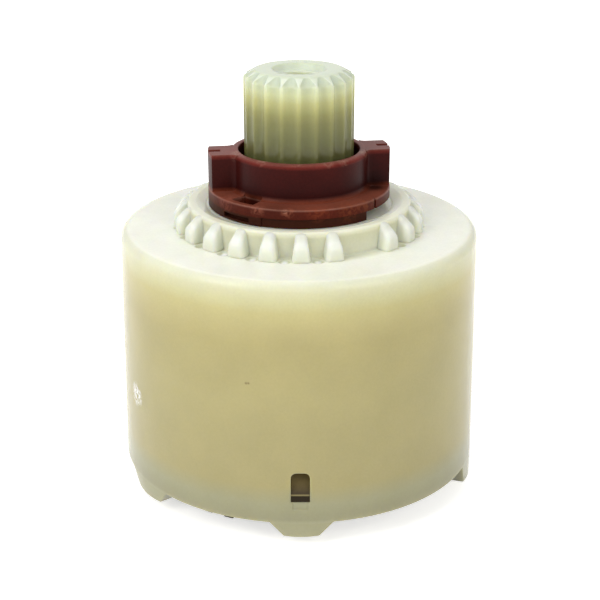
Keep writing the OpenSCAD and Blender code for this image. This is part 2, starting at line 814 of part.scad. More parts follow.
module plug_oring_left() color("#1c1c1c") {
    mirror([1, 0, 0]) plug_oring();
}

// Discs: a rubber gasket, a fixed ceramic disc, and the moving disc that mixes and shuts off
module disc_gasket() color("#1c1c1c") {
    slab(seat_z - gasket_t, gasket_t) difference() {
        gasket_outline(0);
        slot_outlines();
        circle(r = outlet_passage_r);
    }
}

module fixed_disc() color("#f2efe6") {
    slab(seat_z, fixed_disc_t) difference() {
        circle(r = fixed_disc_r);
        slot_outlines();
        circle(r = outlet_passage_r);
        for (az = fixed_notches)
            rotate(az) translate([0, -fixed_disc_r]) square([notch_w, 2 * notch_depth], center = true);
    }
}

module disc_notch_outline(room) {
    for (az = disc_notches)
        rotate(az) translate([0, -moving_disc_r])
            square([notch_w - 2 * room, 2 * (notch_depth - room)], center = true);
}

module moving_disc() color("#f2efe6") {
    difference() {
        slab(moving_disc_z, moving_disc_t) difference() {
            circle(r = moving_disc_r);
            disc_notch_outline(0);
        }
        slab(moving_disc_z - over, hollow_depth + over) {
            circle(r = outlet_passage_r + sink);
            ring_sector(outlet_passage_r, slot_r_out,
                hollow_az - hollow_span / 2, hollow_az + hollow_span / 2);
        }
    }
}

module drive_outline(room) {
    for (side = [-1, 1])
        translate([side * (drive_r_in + drive_r_out) / 2, 0])
            square([drive_r_out - drive_r_in + 2 * room, drive_w + 2 * room], center = true);
}

// Disc carrier: takes the stem's drive lugs and turns the moving disc by its notches
module disc_carrier() color("#5b6f86") {
    difference() {
        slab(carrier_z, carrier_t) circle(r = moving_disc_r);
        slab(stem_z - drive_l - drop_fit, drive_l + drop_fit + over) drive_outline(drop_fit);
    }
    slab(moving_disc_z + drop_fit + 0.2, moving_disc_t - drop_fit - 0.2 + sink) intersection() {
        circle(r = moving_disc_r);
        disc_notch_outline(drop_fit);
    }
}

// Stem: one moulding from the drive lugs to the splined end that takes the handle
module stem_section(room) {
    difference() {
        circle(r = stem_r + room);
        for (i = [0:splines - 1])
            rotate(spline_az + (i + 0.5) * 360 / splines)
                translate([0, -(stem_r - spline_depth + spline_groove_r)])
                    circle(r = spline_groove_r - room, $fn = 48);
    }
}

module stem() color("#c9cfa4") {
    difference() {
        union() {
            translate([0, 0, stem_z]) cylinder(r = stem_flange_r, h = stem_flange_t);
            translate([0, 0, stem_z]) cylinder(r = stem_r, h = spline_z - stem_z);
            intersection() {
                slab(spline_z - sink, stem_top - spline_z + sink) stem_section(0);
                rotate_extrude()
                    polygon([[0, spline_z - sink], [stem_r + over, spline_z - sink],
                        [stem_r + over, stem_top - stem_slope_h], [stem_r, stem_top - stem_slope_h],
                        [stem_r - stem_slope_w, stem_top], [0, stem_top]]);
            }
            slab(stem_z - drive_l, drive_l + sink) drive_outline(0);
        }
        for (z = stem_oring_heights)
            translate([0, 0, z])
                tube(-stem_groove_w / 2, stem_groove_w, stem_groove_r, stem_r + over);
        rotate_extrude()
            polygon([[0, stem_top - dish_depth], [dish_r - dish_depth / 2, stem_top - dish_depth],
                [dish_r, stem_top], [dish_r, stem_top + over], [0, stem_top + over]]);
        translate([0, 0, stem_top - dish_depth - screw_depth])
            cylinder(r = screw_r, h = screw_depth + over);
    }
}

module stem_oring_lower() color("#1c1c1c") {
    translate([0, 0, stem_oring_heights[0]]) oring(stem_oring_r, stem_oring_cs);
}

module stem_oring_upper() color("#1c1c1c") {
    translate([0, 0, stem_oring_heights[1]]) oring(stem_oring_r, stem_oring_cs);
}

module thrust_washer() color("#eceae2") {
    tube(washer_z, washer_t, stem_r + drop_fit, neck_r);
}

// Limit ring: pulls off the splines and goes back on a spline further, to set the hot limit
function ear_side(flip) = let(
    side = ear_w / 2 + ear_fillet,
    reach = sqrt(pow(hub_r + ear_fillet - fillet_bite, 2) - pow(side, 2)),
    turn = atan2(reach, side),
    fillet = arc(side, reach, ear_fillet, 180 + turn, 180, 6)
) [for (p = fillet) [flip * p[0], -p[1]]];

module ear_outline() {
    right = ear_side(1);
    left = ear_side(-1);
    count = len(right);
    polygon(concat([[0, -hub_bore_r - sink]], right,
        [[ear_w / 2, -ear_r - over], [-ear_w / 2, -ear_r - over]],
        [for (i = [count - 1:-1:0]) left[i]]));
}

module ears() {
    slab(hub_z - sink, hub_h + sink) intersection() {
        circle(r = ear_r);
        for (az = [ear_az, ear_az + 180])
            rotate(az) difference() {
                ear_outline();
                translate([0, -ear_r]) square([ear_slot_w, 2 * ear_slot_depth], center = true);
            }
    }
}

module stop_skirt() {
    slab(ring_z, skirt_h + sink) difference() {
        ring_sector(hub_bore_r, ring_flange_r, skirt_azimuths[0], skirt_azimuths[1]);
        ring_sector(ring_flange_r - undercut_depth, ring_flange_r + over,
            undercut_azimuths[0], undercut_azimuths[1]);
        ring_sector(ring_flange_r - band_depth, ring_flange_r + over, band_az, skirt_azimuths[1] + 5);
    }
}

module limit_ring() color("#6a2621") {
    difference() {
        union() {
            rotate_extrude()
                polygon(concat([[0, ring_z], [hub_r, ring_z], [hub_r, ring_flange_z],
                    [ring_flange_r, ring_flange_z], [ring_flange_r, hub_z]],
                    arc(hub_r + hub_cove, hub_z + hub_cove, hub_cove, 270, 180, 3),
                    [[hub_r, ring_top - hub_chamfer], [hub_r - hub_chamfer, ring_top], [0, ring_top]]));
            stop_skirt();
            ears();
        }
        slab(ring_z - over, ring_top - ring_z + 2 * over) stem_section(spline_fit);
        translate([0, 0, ring_top - hub_bore_h]) cylinder(r = hub_bore_r, h = hub_bore_h + over);
        slab(hub_z - index_depth, index_depth + hub_cove)
            ring_sector(hub_r + hub_cove / 2, ring_flange_r - index_rim,
                index_azimuths[0], index_azimuths[1]);
        slab(ring_flange_z - over, skirt_h + ring_flange_t + over)
            rotate(nick_az) translate([0, -ring_flange_r]) square([nick_w, 2 * nick_depth], center = true);
    }
}

housing();
base();
manifold();
manifold_oring();
disc_gasket();
fixed_disc();
spool_sleeve();
sleeve_orings();
balance_spool();
sleeve_plug_left();
sleeve_plug_right();
plug_oring_left();
plug_oring_right();
port_seal_hot();
port_seal_cold();
port_seal_outlet();
moving_disc();
disc_carrier();
stem();
stem_oring_lower();
stem_oring_upper();
thrust_washer();
limit_ring();
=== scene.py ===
import math

import bpy
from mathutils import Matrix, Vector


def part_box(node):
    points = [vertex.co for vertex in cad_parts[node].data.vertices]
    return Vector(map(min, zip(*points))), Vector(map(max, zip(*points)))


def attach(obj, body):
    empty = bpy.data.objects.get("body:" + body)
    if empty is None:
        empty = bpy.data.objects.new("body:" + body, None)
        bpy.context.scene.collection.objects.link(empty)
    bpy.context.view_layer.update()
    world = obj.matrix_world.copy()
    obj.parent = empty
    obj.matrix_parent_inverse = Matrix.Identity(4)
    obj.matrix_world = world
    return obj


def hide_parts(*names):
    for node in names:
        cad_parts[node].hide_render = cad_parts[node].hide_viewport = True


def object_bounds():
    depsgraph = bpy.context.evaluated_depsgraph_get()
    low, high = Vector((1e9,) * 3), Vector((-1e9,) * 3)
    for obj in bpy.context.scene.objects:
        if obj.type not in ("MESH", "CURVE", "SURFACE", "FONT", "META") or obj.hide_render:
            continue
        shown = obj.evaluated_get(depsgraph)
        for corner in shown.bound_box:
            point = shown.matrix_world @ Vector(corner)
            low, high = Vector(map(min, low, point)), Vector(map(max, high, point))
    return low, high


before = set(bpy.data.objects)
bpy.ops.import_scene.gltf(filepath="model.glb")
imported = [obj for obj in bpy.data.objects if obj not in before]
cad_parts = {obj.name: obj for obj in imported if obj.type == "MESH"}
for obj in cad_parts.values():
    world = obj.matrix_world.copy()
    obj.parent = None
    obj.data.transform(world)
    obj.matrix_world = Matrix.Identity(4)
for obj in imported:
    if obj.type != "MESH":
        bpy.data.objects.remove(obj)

# Camera. It looks at the cartridge from straight in front and a little above, from the distance that
# gives the same ovals at rim, boss and ring as the photograph. The axis falls one pixel left of the middle.
# Sizes here and below are in mm and turns in degrees, unless a comment says otherwise.
MM = 0.001
cad_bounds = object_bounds()
STEM_ABOVE_RIM = 20.8
CAMERA_BACK, CAMERA_ABOVE_RIM, CAMERA_TILT = 176.9, 57.3, 68.82
PHOTO_WIDTH = 600
rim_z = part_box("stem")[1][2] - STEM_ABOVE_RIM * MM
bpy.ops.object.camera_add(location=(0, -CAMERA_BACK * MM, rim_z + CAMERA_ABOVE_RIM * MM),
                          rotation=(math.radians(CAMERA_TILT), 0, 0))
camera = bpy.context.object
camera.data.sensor_width = 36
camera.data.lens = 82.93
camera.data.shift_x = 1 / PHOTO_WIDTH
camera.data.clip_start = 0.01
bpy.context.scene.camera = camera
bpy.context.scene.view_settings.view_transform = "Standard"


# Studio. A sheet of white card to stand on, a white surround that camera and gloss see at full white, a
# broad soft lamp overhead, a strip behind it for the glints, and a softbox at each side of the front.
def linear(code):
    """The linear colour of an sRGB hex value."""
    channels = [int(code[i:i + 2], 16) / 255 for i in (1, 3, 5)]
    return tuple(c / 12.92 if c <= 0.04045 else ((c + 0.055) / 1.055) ** 2.4 for c in channels) + (1,)


def add_node(tree, kind, sockets=None, **settings):
    """A shader node with its settings made, and each socket linked to another or given its value."""
    made = tree.nodes.new(kind)
    for name, value in settings.items():
        setattr(made, name, value)
    for name, value in (sockets or {}).items():
        socket = made.inputs[name]
        if isinstance(value, bpy.types.NodeSocket):
            tree.links.new(value, socket)
        else:
            socket.default_value = value
    return made


def new_material(name):
    """A material with an empty node tree, and the tree."""
    material = bpy.data.materials.new(name)
    material.use_nodes = True
    material.node_tree.nodes.clear()
    return material, material.node_tree


def background_rays(tree):
    """1 for the rays that show the background: the camera's own and those that gloss or glass sends on."""
    path = add_node(tree, "ShaderNodeLightPath")
    shown = path.outputs["Is Camera Ray"]
    for kind in ("Is Glossy Ray", "Is Transmission Ray"):
        shown = add_node(tree, "ShaderNodeMath", {0: shown, 1: path.outputs[kind]},
                         operation="MAXIMUM").outputs[0]
    return shown


SURROUND_FILL = 0.34
# The card is a hair below the foot. It shows less than white under the object and fades to full white
# further out. Its size and the fade's start and end are in metres.
CARD_SIZE, CARD_GAP = 6, 0.02
CARD_SHOWN, FADE_START, FADE_END = 0.62, 0.15, 0.7
surround = bpy.data.worlds.new("white_surround")
bpy.context.scene.world = surround
surround.use_nodes = True
tree = surround.node_tree
tree.nodes.clear()
seen = add_node(tree, "ShaderNodeBackground", {"Color": (1, 1, 1, 1), "Strength": 1})
filled = add_node(tree, "ShaderNodeBackground", {"Color": (1, 0.99, 0.97, 1), "Strength": SURROUND_FILL})
chosen = add_node(tree, "ShaderNodeMixShader",
                  {0: background_rays(tree), 1: filled.outputs[0], 2: seen.outputs[0]})
add_node(tree, "ShaderNodeOutputWorld", {"Surface": chosen.outputs[0]})

bpy.ops.object.select_all(action="DESELECT")
bpy.ops.mesh.primitive_plane_add(size=CARD_SIZE, location=(0, 0, cad_bounds[0][2] - CARD_GAP * MM))
card = bpy.context.object
card.name = "card_floor"
white_card, tree = new_material("white card")
place = add_node(tree, "ShaderNodeTexCoord")
far = add_node(tree, "ShaderNodeVectorMath", {0: place.outputs["Object"]}, operation="LENGTH")
whiter = add_node(tree, "ShaderNodeMapRange",
                  {"Value": far.outputs["Value"], "From Min": FADE_START, "From Max": FADE_END,
                   "To Min": CARD_SHOWN, "To Max": 1})
lift = add_node(tree, "ShaderNodeMath", {0: background_rays(tree), 1: whiter.outputs[0]},
                operation="MULTIPLY")
card_face = add_node(tree, "ShaderNodeBsdfPrincipled",
                     {"Base Color": linear("#f4f4f2"), "Roughness": 0.9, "IOR": 1.4,
                      "Emission Color": (1, 1, 1, 1), "Emission Strength": lift.outputs[0]})
add_node(tree, "ShaderNodeOutputMaterial", {"Surface": card_face.outputs[0]})
card.data.materials.append(white_card)


def softbox(name, place, size, watts, warmth, shape=1.0):
    """A soft lamp at that place in metres, turned to the middle of the object."""
    target = (0, 0, 25 * MM)
    away = [p - t for p, t in zip(place, target)]
    tilt = math.atan2(math.hypot(away[0], away[1]), away[2])
    turn = math.atan2(away[0], -away[1])
    bpy.ops.object.light_add(type="AREA", location=place, rotation=(tilt, 0, turn))
    lamp = bpy.context.object
    lamp.name = name
    lamp.data.shape = "RECTANGLE"
    lamp.data.size = size
    lamp.data.size_y = size * shape
    lamp.data.energy = watts
    lamp.data.color = warmth


softbox("lamp_overhead", (-0.18, -0.08, 0.68), 0.55, 1.42, (1, 1, 1))
softbox("lamp_strip", (-0.06, 0.2, 0.62), 0.3, 0.22, (1, 1, 1), shape=0.27)
softbox("lamp_left", (-0.55, -0.42, 0.5), 0.4, 2.75, (1, 0.99, 0.97))
softbox("lamp_right", (0.42, -0.49, 0.4), 0.4, 1.65, (1, 0.98, 0.93))


# Housing. One moulding in natural acetal, turned in shape apart from its tabs, teeth and snap windows:
# milky, slightly translucent and semi-gloss from the polished mould, with soft edges and the odd white
# scuff from handling. Its colour is painted light: nearly white where it is thin and lit from above,
# yellower down the wall.

# Heights count from the foot of the deepest tab, and a column is one facet of the round wall.
WALL_FOOT = 3.4
RIM = rim_z / MM
RIM_ROUND, BOSS_ROUND = 1.25, 0.35
RECESS_FLOOR = RIM + 2.84
NECK_R, NECK_FOOT = 7.28, RIM - 4
CAVITY_R, CAVITY_TOP = 22, RIM - 2.2
SEGMENTS = 240
COLUMN = 360 / SEGMENTS


def pick(piece, kind, wanted):
    """Select only the faces or edges that pass the test, and stay in edit mode.

    The test gets a face's middle in mm and its normal, or an edge's two ends in mm.
    """
    bpy.ops.object.mode_set(mode="EDIT")
    bpy.ops.mesh.select_mode(type=kind)
    bpy.ops.mesh.select_all(action="DESELECT")
    bpy.ops.object.mode_set(mode="OBJECT")
    mesh = piece.data
    if kind == "FACE":
        for face in mesh.polygons:
            face.select = bool(wanted(face.center / MM, face.normal))
    else:
        for edge in mesh.edges:
            ends = [mesh.vertices[i].co / MM for i in edge.vertices]
            edge.select = bool(wanted(*ends))
    bpy.ops.object.mode_set(mode="EDIT")


def tidy(piece):
    """Weld points that lie together, turn all faces outwards and leave edit mode."""
    bpy.ops.mesh.select_all(action="SELECT")
    bpy.ops.mesh.remove_doubles(threshold=0.0005 * MM)
    bpy.ops.mesh.normals_make_consistent(inside=False)
    bpy.ops.object.mode_set(mode="OBJECT")
    return piece


def turned(name, profile, first_az=0.0, ring=True):
    """Turn an outline of radius and height in mm round the Z axis, as a closed ring or with flat ends."""
    bpy.ops.object.select_all(action="DESELECT")
    radius, height = profile[0]
    bpy.ops.mesh.primitive_circle_add(vertices=SEGMENTS, radius=radius * MM)
    piece = bpy.context.object
    piece.name = name
    piece.rotation_euler[2] = math.radians(first_az)
    bpy.ops.object.transform_apply(location=False, rotation=True, scale=False)
    bpy.ops.object.mode_set(mode="EDIT")
    bpy.ops.mesh.select_all(action="SELECT")
    bpy.ops.transform.translate(value=(0, 0, height * MM))
    for next_radius, next_height in profile[1:]:
        bpy.ops.mesh.extrude_edges_move(
            TRANSFORM_OT_translate={"value": (0, 0, (next_height - height) * MM)})
        grow = next_radius / radius
        bpy.ops.transform.resize(value=(grow, grow, 1), center_override=(0, 0, 0))
        radius, height = next_radius, next_height
    bpy.ops.mesh.select_all(action="DESELECT")
    bpy.ops.mesh.select_mode(type="EDGE")
    bpy.ops.mesh.select_non_manifold()
    if ring:
        bpy.ops.mesh.bridge_edge_loops()
    else:
        bpy.ops.mesh.fill_holes(sides=0)
    return tidy(piece)


def block(name, size, middle):
    """A box of that size in mm, round that middle."""
    bpy.ops.object.select_all(action="DESELECT")
    bpy.ops.mesh.primitive_cube_add(size=1, location=[m * MM for m in middle], scale=[w * MM for w in size])
    bpy.ops.object.transform_apply(location=True, rotation=True, scale=True)
    bpy.context.object.name = name
    return bpy.context.object


def soften(piece, width, angle=35, segments=3):
    """Round off the edges that bend by more than the angle, to that width in mm."""
    step = piece.modifiers.new("soft edges", "BEVEL")
    step.width = width * MM
    step.segments = segments
    step.limit_method = "ANGLE"
    step.angle_limit = math.radians(angle)
    bpy.context.view_layer.objects.active = piece
    bpy.ops.object.modifier_apply(modifier=step.name)


def turn_to(piece, azimuth):
    """Turn a piece round the Z axis from the front to that azimuth."""
    bpy.ops.object.select_all(action="DESELECT")
    piece.select_set(True)
    bpy.context.view_layer.objects.active = piece
    piece.rotation_euler[2] = math.radians(azimuth)
    bpy.ops.object.transform_apply(location=False, rotation=True, scale=False)


def copies_at(piece, azimuths):
    """Copy a piece made at the front to each azimuth, every copy with a mesh of its own."""
    copies = []
    for azimuth in azimuths:
        bpy.ops.object.select_all(action="DESELECT")
        piece.select_set(True)
        bpy.context.view_layer.objects.active = piece
        bpy.ops.object.duplicate()
        copies.append(bpy.context.object)
        turn_to(copies[-1], azimuth)
    bpy.data.objects.remove(piece)
    return copies


def join(pieces):
    """Make one piece of several, under the first one's name."""
    bpy.ops.object.select_all(action="DESELECT")
    for piece in pieces:
        piece.select_set(True)
    bpy.context.view_layer.objects.active = pieces[0]
    bpy.ops.object.join()
    return pieces[0]


def cut(piece, cutter, operation="DIFFERENCE"):
    """Cut one piece with another, or weld it on, so that one closed skin is left."""
    step = piece.modifiers.new("cut", "BOOLEAN")
    step.operation = operation
    step.solver = "EXACT"
    step.material_mode = "TRANSFER"
    step.object = cutter
    bpy.context.view_layer.objects.active = piece
    bpy.ops.object.modifier_apply(modifier=step.name)
    bpy.data.objects.remove(cutter)


def corner(middle_r, middle_z, radius, start, end, steps):
    """Points of a rounded corner in an outline, from one angle to another."""
    angles = [math.radians(start + (end - start) * i / steps) for i in range(steps + 1)]
    return [(middle_r + radius * math.cos(a), middle_z + radius * math.sin(a)) for a in angles]


# The outline runs up the outside of the wall, over rim, boss and recess, and down the neck and cavity.
# The locating tabs are then drawn down from the wall's lower edge: azimuth, columns of the wall that the
# tab takes at its root, width of foot over root, and depth. Last the edge gets its lip. What lies within
# CLOSE of the wall's foot counts as being on it.
TABS = ((0.8, 13, 0.56, 2.0), (78.8, 15, 0.54, 3.38), (180.8, 13, 0.56, 2.0), (-57.7, 15, 0.64, 2.0))
CLOSE = 0.01
LIP = 0.14
housing = turned("housing_moulding",
                 [(24.2, WALL_FOOT), (24.0, 18.0)]
                 + corner(22.517, RIM - RIM_ROUND, RIM_ROUND, 0, 90, 8)
                 + [(19.0, RIM), (15.1, RIM), (14.96, RIM + 0.06), (14.9, RIM + 0.2)]
                 + corner(14.55, RIM + 3.0, BOSS_ROUND, 0, 90, 4)
                 + [(13.7, RIM + 3.35)] + corner(12.5, RIM + 2.86, 0.1, 70, 180, 3)
                 + [(12.38, RECESS_FLOOR), (7.5, RECESS_FLOOR), (NECK_R, RIM + 2.64), (NECK_R, NECK_FOOT),
                    (9.6, NECK_FOOT), (9.6, RIM + 0.9), (13, RIM + 0.9), (13, CAVITY_TOP),
                    (CAVITY_R, CAVITY_TOP), (CAVITY_R, WALL_FOOT)],
                 TABS[0][0] + COLUMN / 2)
for azimuth, columns, narrowing, depth in TABS:
    turn_to(housing, -azimuth)
    reach = math.radians(columns * COLUMN / 2)
    pick(housing, "FACE", lambda middle, normal: middle.z < WALL_FOOT + CLOSE and normal.z < -0.9
         and abs(math.atan2(middle.x, -middle.y)) < reach)
    bpy.ops.mesh.extrude_region_move(TRANSFORM_OT_translate={"value": (0, 0, -depth * MM)})
    bpy.ops.transform.resize(value=(narrowing, 1, 1), center_override=(0, 0, 0))
    bpy.ops.object.mode_set(mode="OBJECT")
    turn_to(housing, azimuth)
bpy.ops.object.mode_set(mode="EDIT")
bpy.ops.mesh.select_mode(type="EDGE")
bpy.ops.mesh.select_all(action="DESELECT")
bpy.ops.mesh.edges_select_sharp(sharpness=math.radians(20))
bpy.ops.object.mode_set(mode="OBJECT")
lip = {edge.index for edge in housing.data.edges if edge.select
       and all(housing.data.vertices[i].co.z < (WALL_FOOT + CLOSE) * MM for i in edge.vertices)}
pick(housing, "EDGE", lambda *ends: False)
bpy.ops.object.mode_set(mode="OBJECT")
for index in lip:
    housing.data.edges[index].select = True
bpy.ops.object.mode_set(mode="EDIT")
bpy.ops.mesh.bevel(offset=LIP * MM, segments=2, affect="EDGES", clamp_overlap=True)
tidy(housing)

# Two snap windows, front and back, each with two round corners at the top and a shallow pocket under its
# sill that leads the base's nose in. The dimples lie in the feet of the gaps between the teeth.
WINDOWS_AZ = (0.4, 180.4)
window = block("window", (2.4, 6, 4.1), (0, -23.5, WALL_FOOT + 5.05))
pick(window, "EDGE", lambda a, b: a.z > WALL_FOOT + 7 and b.z > WALL_FOOT + 7 and abs(a.y - b.y) > 1)
bpy.ops.mesh.bevel(offset=0.7 * MM, segments=4, affect="EDGES")
bpy.ops.object.mode_set(mode="OBJECT")
cut(housing, join(copies_at(window, WINDOWS_AZ)))
pocket = block("lead_in", (2.0, 0.9, 1.3), (0, -24.5, WALL_FOOT + 2.58))
soften(pocket, 0.12)
cut(housing, join(copies_at(pocket, WINDOWS_AZ)))
PLACES, TOOTH_AZ, MISSING = 24, 1, 2
PITCH = 360 / PLACES
teeth = [i for i in range(PLACES) if i != MISSING]
DIMPLE_R, DIMPLE_PLACE = 1.09, (0, -16.05, RIM + 0.74)
bpy.ops.object.select_all(action="DESELECT")
bpy.ops.mesh.primitive_uv_sphere_add(segments=24, ring_count=14, radius=DIMPLE_R * MM,
                                     location=[c * MM for c in DIMPLE_PLACE])
bpy.ops.object.transform_apply(location=True, rotation=True, scale=True)
dimple = bpy.context.object
cut(housing, join(copies_at(dimple, [TOOTH_AZ + PITCH * (i + 0.5) for i in teeth if i + 1 != MISSING])))

# A tooth is a wedge with a chamfered outer end; one of the twenty-four places stays empty. The stop lug
# stands in the recess behind, where the ends of the limit ring's skirt meet it.
LUG_AZ = 163.2
tooth = block("tooth", (2.5, 2.6, 3.5), (0, -15.4, RIM + 1.55))
pick(tooth, "FACE", lambda middle, normal: normal.z > 0.9)
bpy.ops.transform.resize(value=(0.56, 1, 1), center_override=(0, 0, 0))
pick(tooth, "EDGE", lambda a, b: min(a.z, b.z) > RIM + 3 and max(a.y, b.y) < -16)
bpy.ops.mesh.bevel(offset=1.5 * MM, segments=1, affect="EDGES")
bpy.ops.object.mode_set(mode="OBJECT")
soften(tooth, 0.5, segments=5)
lug = block("stop_lug", (2.5, 3.3, 1.3), (0, -10.95, RIM + 3.2))
soften(lug, 0.15)
turn_to(lug, LUG_AZ)
cut(housing, lug, "UNION")

# Flow clouds, speckle and scratches of a moulding, in mm. The real grain of a mould is under 0.1 mm, so it
# is drawn as coarse as it needs to show.
CLOUD_MM, SPECKLE_MM, SCRATCH_MM, GRAIN_DEPTH_MM = 6, 0.3, 0.6, 0.02
NOISE_LOW, NOISE_HIGH = 0.3, 0.7
SCRATCH_LOW, SCRATCH_HIGH = 0.44, 0.56
SCATTER = (1, 0.85, 0.5)


def moulded(name, stops, roughness, grain_mm, grain, mottle, edge_mm, ior=1.48, specular=0.5, milky=0.0,
            milky_mm=1.0, wear_and_painted_light=(), depth=()):
    """A moulded plastic: colours by height in mm, cloudy tone, fine grain, soft edges and wear marks.

    A mark has its middle and radius in mm, its colour, its strength, and how patchy it is, from 0
    to 1. Marks stand for wear and also for painted glints and painted shade. Depth gives a painted
    shade: the tint at a radius in mm from the stem's axis, for hollows that get less light.
    """
    material, tree = new_material(name)
    place = add_node(tree, "ShaderNodeTexCoord")
    split = add_node(tree, "ShaderNodeSeparateXYZ", {0: place.outputs["Object"]})
    low, high = stops[0][0], stops[-1][0]
    level = add_node(tree, "ShaderNodeMapRange",
                     {"Value": split.outputs["Z"], "From Min": low * MM, "From Max": high * MM})
    ramp = add_node(tree, "ShaderNodeValToRGB", {0: level.outputs[0]})
    while len(ramp.color_ramp.elements) < len(stops):
        ramp.color_ramp.elements.new(0.5)
    for element, (z, code) in zip(ramp.color_ramp.elements, stops):
        element.position = (z - low) / (high - low)
        element.color = linear(code)
    cloud = add_node(tree, "ShaderNodeTexNoise",
                     {"Vector": place.outputs["Object"], "Scale": 1 / (CLOUD_MM * MM), "Detail": 3})
    shade = add_node(tree, "ShaderNodeMapRange",
                     {"Value": cloud.outputs[0], "From Min": NOISE_LOW, "From Max": NOISE_HIGH,
                      "To Min": 1 - mottle, "To Max": 1 + mottle})
    speckle = add_node(tree, "ShaderNodeTexNoise",
                       {"Vector": place.outputs["Object"], "Scale": 1 / (SPECKLE_MM * MM), "Detail": 1})
    fine = add_node(tree, "ShaderNodeMapRange",
                    {"Value": speckle.outputs[0], "From Min": NOISE_LOW, "From Max": NOISE_HIGH,
                     "To Min": 1 - mottle / 2, "To Max": 1 + mottle / 2})
    both = add_node(tree, "ShaderNodeMath", {0: shade.outputs[0], 1: fine.outputs[0]}, operation="MULTIPLY")
    tone = add_node(tree, "ShaderNodeVectorMath", {0: ramp.outputs[0], "Scale": both.outputs[0]},
                    operation="SCALE")
    colour = tone.outputs[0]
    if depth:
        flat = add_node(tree, "ShaderNodeVectorMath", {0: place.outputs["Object"], 1: (1, 1, 0)},
                        operation="MULTIPLY")
        radius = add_node(tree, "ShaderNodeVectorMath", {0: flat.outputs[0]}, operation="LENGTH")
        inwards = add_node(tree, "ShaderNodeMapRange",
                           {"Value": radius.outputs["Value"], "From Min": depth[0][0] * MM,
                            "From Max": depth[-1][0] * MM})
        tint = add_node(tree, "ShaderNodeValToRGB", {0: inwards.outputs[0]})
        while len(tint.color_ramp.elements) < len(depth):
            tint.color_ramp.elements.new(0.5)
        for element, (r, shares) in zip(tint.color_ramp.elements, depth):
            element.position = (r - depth[0][0]) / (depth[-1][0] - depth[0][0])
            element.color = (*shares, 1)
        painted_shade = add_node(tree, "ShaderNodeVectorMath", {0: colour, 1: tint.outputs[0]},
                          operation="MULTIPLY")
        colour = painted_shade.outputs[0]
    for spot, radius, code, strength, patchy in wear_and_painted_light:
        away = add_node(tree, "ShaderNodeVectorMath",
                        {0: place.outputs["Object"], 1: [c * MM for c in spot]}, operation="DISTANCE")
        near = add_node(tree, "ShaderNodeMapRange",
                        {"Value": away.outputs["Value"], "From Min": radius * MM,
                         "From Max": radius * MM / 3, "To Min": 0, "To Max": 1})
        scratch = add_node(tree, "ShaderNodeTexNoise",
                           {"Vector": place.outputs["Object"], "Scale": 1 / (SCRATCH_MM * MM),
                            "Detail": 4, "Distortion": 0.8})
        marks = add_node(tree, "ShaderNodeMapRange",
                         {"Value": scratch.outputs[0], "From Min": SCRATCH_LOW, "From Max": SCRATCH_HIGH,
                          "To Min": strength * (1 - patchy), "To Max": strength})
        amount = add_node(tree, "ShaderNodeMath", {0: near.outputs[0], 1: marks.outputs[0]},
                          operation="MULTIPLY")
        wear_and_light_mix = add_node(tree, "ShaderNodeMix", {0: amount.outputs[0], 6: colour, 7: linear(code)},
                        data_type="RGBA")
        colour = wear_and_light_mix.outputs[2]
    pits = add_node(tree, "ShaderNodeTexNoise",
                    {"Vector": place.outputs["Object"], "Scale": 1 / (grain_mm * MM), "Detail": 2})
    rounded = add_node(tree, "ShaderNodeBevel", {"Radius": edge_mm * MM}, samples=6)
    skin = add_node(tree, "ShaderNodeBump",
                    {"Height": pits.outputs[0], "Strength": grain, "Distance": GRAIN_DEPTH_MM * MM,
                     "Normal": rounded.outputs[0]})
    gloss = add_node(tree, "ShaderNodeMapRange",
                     {"Value": cloud.outputs[0], "From Min": NOISE_LOW, "From Max": NOISE_HIGH,
                      "To Min": roughness - 0.04, "To Max": roughness + 0.04})
    face = add_node(tree, "ShaderNodeBsdfPrincipled",
                    {"Base Color": colour, "Roughness": gloss.outputs[0], "IOR": ior,
                     "Specular IOR Level": specular, "Subsurface Weight": milky,
                     "Subsurface Radius": SCATTER, "Subsurface Scale": milky_mm * MM,
                     "Normal": skin.outputs[0]})
    add_node(tree, "ShaderNodeOutputMaterial", {"Surface": face.outputs[0]})
    return material


def at_edge(radius, height, azimuth):
    """The point in mm at that radius and height, for a mark that lies on an edge."""
    turn = math.radians(azimuth)
    return (radius * math.sin(turn), -radius * math.cos(turn), height)
